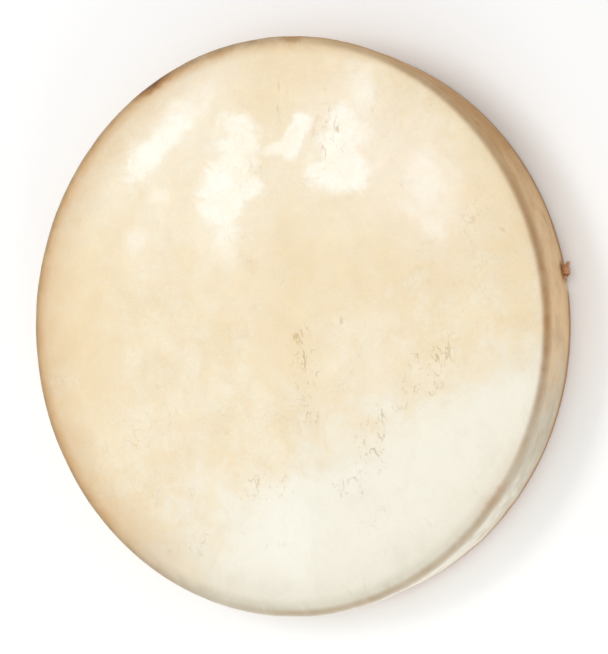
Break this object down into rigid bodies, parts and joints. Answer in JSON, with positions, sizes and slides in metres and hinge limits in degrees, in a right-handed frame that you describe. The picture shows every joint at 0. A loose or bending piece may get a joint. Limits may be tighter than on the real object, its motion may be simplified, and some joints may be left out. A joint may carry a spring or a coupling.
{
  "type": "ceremonial frame drum",
  "caption": "Round hand-held frame drum: a rawhide head stretched over a bent wooden hoop, with a leather lace across the open back to hold it by.",
  "frame": {"origin": "on the drum's axis, in the plane of the back edge that it lies on", "axes": "+Z along the drum's axis, out of the struck face; +X through the knot on the side; +Y a quarter turn on from +X"},
  "size_m": [0.415, 0.406, 0.048],
  "materials": {
    "rawhide": "satin",
    "hoop_wood": "matte",
    "lace_leather": "matte"
  },
  "bodies": {
    "root": {"rawhide_head": "rawhide", "bent_hoop": "hoop_wood", "grip_lace": "lace_leather"}
  },
  "joints": []
}
